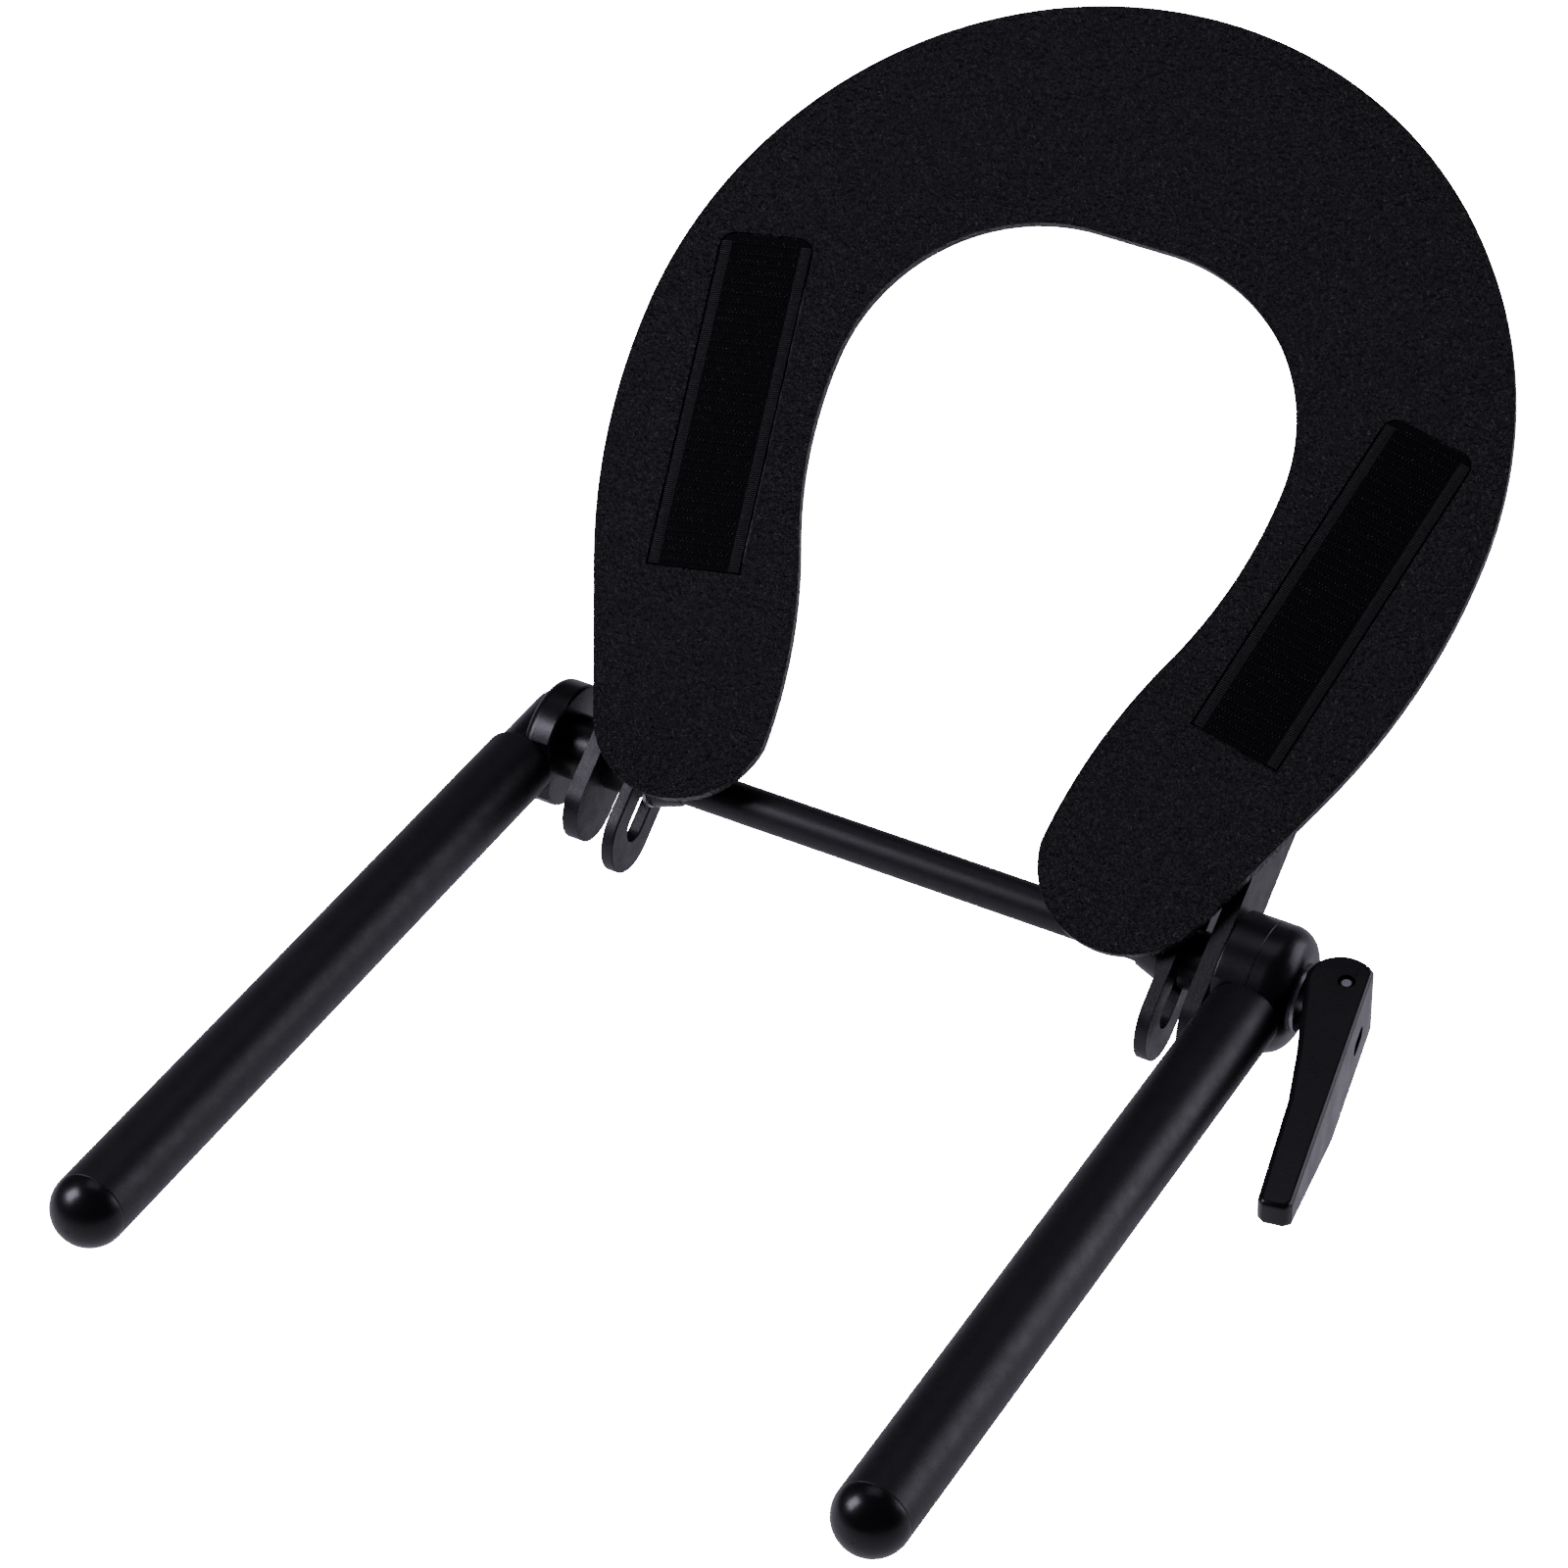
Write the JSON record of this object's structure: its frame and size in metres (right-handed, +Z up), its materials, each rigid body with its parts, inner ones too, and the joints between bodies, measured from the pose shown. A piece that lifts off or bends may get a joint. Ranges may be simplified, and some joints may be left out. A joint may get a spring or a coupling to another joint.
{
  "type": "face cradle frame",
  "caption": "Adjustable face cradle frame for a massage table: U-shaped plate with hook strips on tilting bars, clamped by a cam lever to a pair of round plug-in posts.",
  "frame": {"origin": "on the cross rod's axis, half way between the two posts", "axes": "+X towards the cam lever, +Y away from the table, posts pointing along -Y, +Z up"},
  "size_m": [0.299, 0.4585, 0.2061],
  "materials": {
    "tube_black": "satin black",
    "moulding_black": "moulded black, semi-gloss",
    "plate_grained": "black with a fine pebble grain",
    "hook_tape": "black woven tape with nylon hooks",
    "bar_black": "satin black",
    "lug_black": "moulded black",
    "zinc_steel": "zinc plated"
  },
  "bodies": {
    "left_post": {"left_post_tube": "tube_black", "left_end_cap": "moulding_black", "left_knuckle": "moulding_black", "lock_nut": "zinc_steel", "nut_cap": "moulding_black", "spacer_tube": "tube_black", "left_rod_bush": "moulding_black", "right_rod_bush": "moulding_black", "left_arm_spacer": "lug_black", "left_bar_spacer": "lug_black", "right_bar_spacer": "lug_black", "friction_washers": "lug_black"},
    "right_post": {"right_post_tube": "tube_black", "right_end_cap": "moulding_black", "right_knuckle": "moulding_black", "thrust_washer": "zinc_steel"},
    "clamp_rod": {"tie_rod": "zinc_steel", "cam_pin": "zinc_steel"},
    "cam_lever": {"cam_lever": "moulding_black"},
    "arms": {"left_arm": "bar_black", "right_arm": "bar_black"},
    "plate": {"face_plate": "plate_grained", "left_hook_strip": "hook_tape", "right_hook_strip": "hook_tape", "left_hinge_lug": "lug_black", "right_hinge_lug": "lug_black", "lug_screws": "zinc_steel", "arm_pivot_pins": "zinc_steel", "bar_pivot_pins": "zinc_steel"},
    "slotted_bars": {"left_slotted_bar": "bar_black", "right_slotted_bar": "bar_black"}
  },
  "joints": [
    {"name": "arm_lift", "type": "hinge", "parent": "left_post", "child": "arms", "pos_m": [0, 0, 0], "axis": [1, 0, 0], "range_deg": [-55, 45]},
    {"name": "plate_tilt", "type": "hinge", "parent": "arms", "child": "plate", "pos_m": [0, 0.10174, 0.08093], "axis": [-1, 0, 0], "range_deg": [0, 32]},
    {"name": "bar_swing", "type": "hinge", "parent": "plate", "child": "slotted_bars", "pos_m": [0, 0.07435, 0.05914], "axis": [1, 0, 0], "range_deg": [0, 43]},
    {"name": "rod_turn", "type": "hinge", "parent": "left_post", "child": "clamp_rod", "pos_m": [0, 0, 0], "axis": [1, 0, 0], "continuous": true},
    {"name": "lever_swing", "type": "hinge", "parent": "clamp_rod", "child": "cam_lever", "pos_m": [0.14268, 0, 0], "axis": [0, -0.1392, 0.9903], "range_deg": [0, 80]},
    {"name": "right_post_swivel", "type": "hinge", "parent": "left_post", "child": "right_post", "pos_m": [0, 0, 0], "axis": [1, 0, 0], "range_deg": [-8, 8]}
  ],
  "couplings": [
    {"joint": "bar_swing", "follows": "plate_tilt", "ratio": 1.335}
  ]
}
